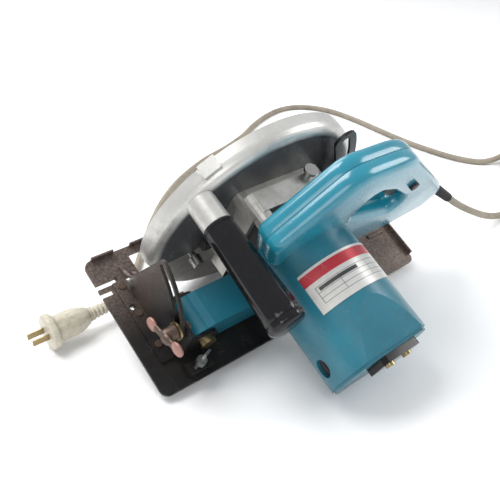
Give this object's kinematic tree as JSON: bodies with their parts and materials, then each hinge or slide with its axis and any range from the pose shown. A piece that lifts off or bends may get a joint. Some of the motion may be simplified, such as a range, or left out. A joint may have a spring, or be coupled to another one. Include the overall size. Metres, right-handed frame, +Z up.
{
  "type": "circular saw",
  "caption": "Corded circular saw lying at rest: round teal motor, loop handle, black side grip, cast blade case, swing guard, tilting steel base, cord and plug.",
  "frame": {"origin": "middle of the saw's bounding box at floor level, without the cord and plug", "axes": "+Z up from the floor, +X along the cut towards the rear of the saw, +Y towards the blade side; the saw lies leaned over by 30.1 degrees about X on its motor's end and its lower guard"},
  "size_m": [0.8245, 0.6292, 0.2194],
  "materials": {
    "cast": "sand-cast aluminium, lightly brushed",
    "teal": "satin teal enamel",
    "teal_plastic": "glossy teal moulding",
    "black_plastic": "glossy black moulding",
    "matte_black": "matte black moulding",
    "steel": "turned or ground steel",
    "guard_steel": "pressed steel, worn bright",
    "worn_steel": "pressed steel with a thin dark finish worn brown",
    "zinc": "yellow zinc plate",
    "copper": "enamelled copper",
    "pink_metal": "copper-coloured lacquer",
    "label": "thin printed aluminium plate, plain bands",
    "iron": "stacked iron laminations",
    "carbon": "pressed carbon",
    "rubber": "soft black rubber",
    "cord": "beige-grey flexible cord",
    "ivory": "aged ivory moulding",
    "brass": "plain brass"
  },
  "bodies": {
    "saw_body": {"blade_case": "cast", "gear_housing": "cast", "baffle_plate": "matte_black", "motor_housing": "teal", "rear_cover": "black_plastic", "cover_screws": "zinc", "housing_screws": "steel", "nameplate": "label", "field_stator": "iron", "field_coils": "copper", "brush_holders": "brass", "carbon_brushes": "carbon", "brush_caps": "matte_black", "handle_left": "teal_plastic", "handle_right": "teal_plastic", "handle_screws": "steel", "trigger_pin": "steel", "switch_body": "matte_black", "cord_guard": "rubber", "side_grip": "black_plastic", "grip_bolt": "steel", "spindle_bearing": "steel", "spindle_bush": "brass", "armature_bearings": "steel", "bearing_retainer": "steel", "guard_stop": "rubber", "depth_clamp_bolt": "steel", "cord_out": "cord", "cord_coil": "cord", "cord_back": "cord", "plug_guard": "cord", "plug_body": "ivory", "plug_pins": "brass"},
    "armature": {"armature_shaft": "steel", "armature_core": "iron", "commutator": "copper", "cooling_fan": "matte_black"},
    "blade_drive": {"spindle": "steel", "drive_gear": "steel", "inner_flange": "steel", "blade": "steel", "outer_flange": "steel", "blade_bolt": "steel"},
    "swing_guard": {"lower_guard": "guard_steel", "guard_lever": "steel"},
    "trigger": {"trigger": "matte_black"},
    "lock_button": {"lock_button": "matte_black"},
    "shaft_lock": {"shaft_lock": "steel"},
    "depth_lever": {"depth_lever": "steel"},
    "tilt_frame": {"front_bracket": "worn_steel", "pivot_bolt": "zinc", "depth_guide": "worn_steel", "bevel_washer": "zinc"},
    "bevel_bolt": {"bevel_wing_bolt": "pink_metal"},
    "base": {"base_plate": "worn_steel", "bevel_quadrant": "worn_steel", "rear_hinge": "worn_steel", "hinge_pins": "steel", "rivets": "steel"},
    "fence_screw": {"fence_screw": "steel"}
  },
  "joints": [
    {"name": "blade_spin", "type": "hinge", "parent": "saw_body", "child": "blade_drive", "pos_m": [-0.00643, 0.06316, 0.09802], "axis": [0, 0.8648, 0.502], "continuous": true},
    {"name": "armature_spin", "type": "hinge", "parent": "saw_body", "child": "armature", "pos_m": [-0.01896, -0.05025, 0.07428], "axis": [0, 0.8648, 0.502], "continuous": true},
    {"name": "guard_swing", "type": "hinge", "parent": "saw_body", "child": "swing_guard", "pos_m": [-0.00643, 0.07008, 0.10204], "axis": [0, -0.8648, -0.502], "range_deg": [0, 145], "stiffness_Nm_per_rad": 0.3, "springref_deg": -28.65},
    {"name": "trigger_pull", "type": "hinge", "parent": "saw_body", "child": "trigger", "pos_m": [0.06838, -0.04116, 0.15822], "axis": [0, -0.8648, -0.502], "range_deg": [0, 8], "stiffness_Nm_per_rad": 1, "springref_deg": -5.73},
    {"name": "lock_press", "type": "slide", "parent": "saw_body", "child": "lock_button", "axis": [0, 0.8648, 0.502], "range_m": [0, 0.003], "stiffness_N_per_m": 500, "springref_m": -0.001},
    {"name": "shaft_lock_press", "type": "slide", "parent": "saw_body", "child": "shaft_lock", "axis": [0, 0.502, -0.8648], "range_m": [0, 0.005], "stiffness_N_per_m": 600, "springref_m": -0.002},
    {"name": "depth_lock", "type": "hinge", "parent": "saw_body", "child": "depth_lever", "pos_m": [0.09189, 0.04743, 0.1052], "axis": [0, -0.8648, -0.502], "range_deg": [0, 70]},
    {"name": "depth_tilt", "type": "hinge", "parent": "saw_body", "child": "tilt_frame", "pos_m": [-0.12343, 0.02045, 0.0501], "axis": [0, 0.8648, 0.502], "range_deg": [0, 26]},
    {"name": "bevel_tilt", "type": "hinge", "parent": "tilt_frame", "child": "base", "pos_m": [-0.15043, 0.07895, 0.07481], "axis": [1, 0, 0], "range_deg": [0, 45]},
    {"name": "bevel_clamp", "type": "hinge", "parent": "tilt_frame", "child": "bevel_bolt", "pos_m": [-0.15543, 0.00173, 0.06377], "axis": [1, 0, 0], "range_deg": [0, 180]},
    {"name": "fence_clamp", "type": "hinge", "parent": "base", "child": "fence_screw", "pos_m": [-0.13743, -0.0074, 0.02238], "axis": [0, -0.502, 0.8648], "range_deg": [0, 180]}
  ],
  "couplings": [
    {"joint": "armature_spin", "follows": "blade_spin", "ratio": -3.8889}
  ]
}
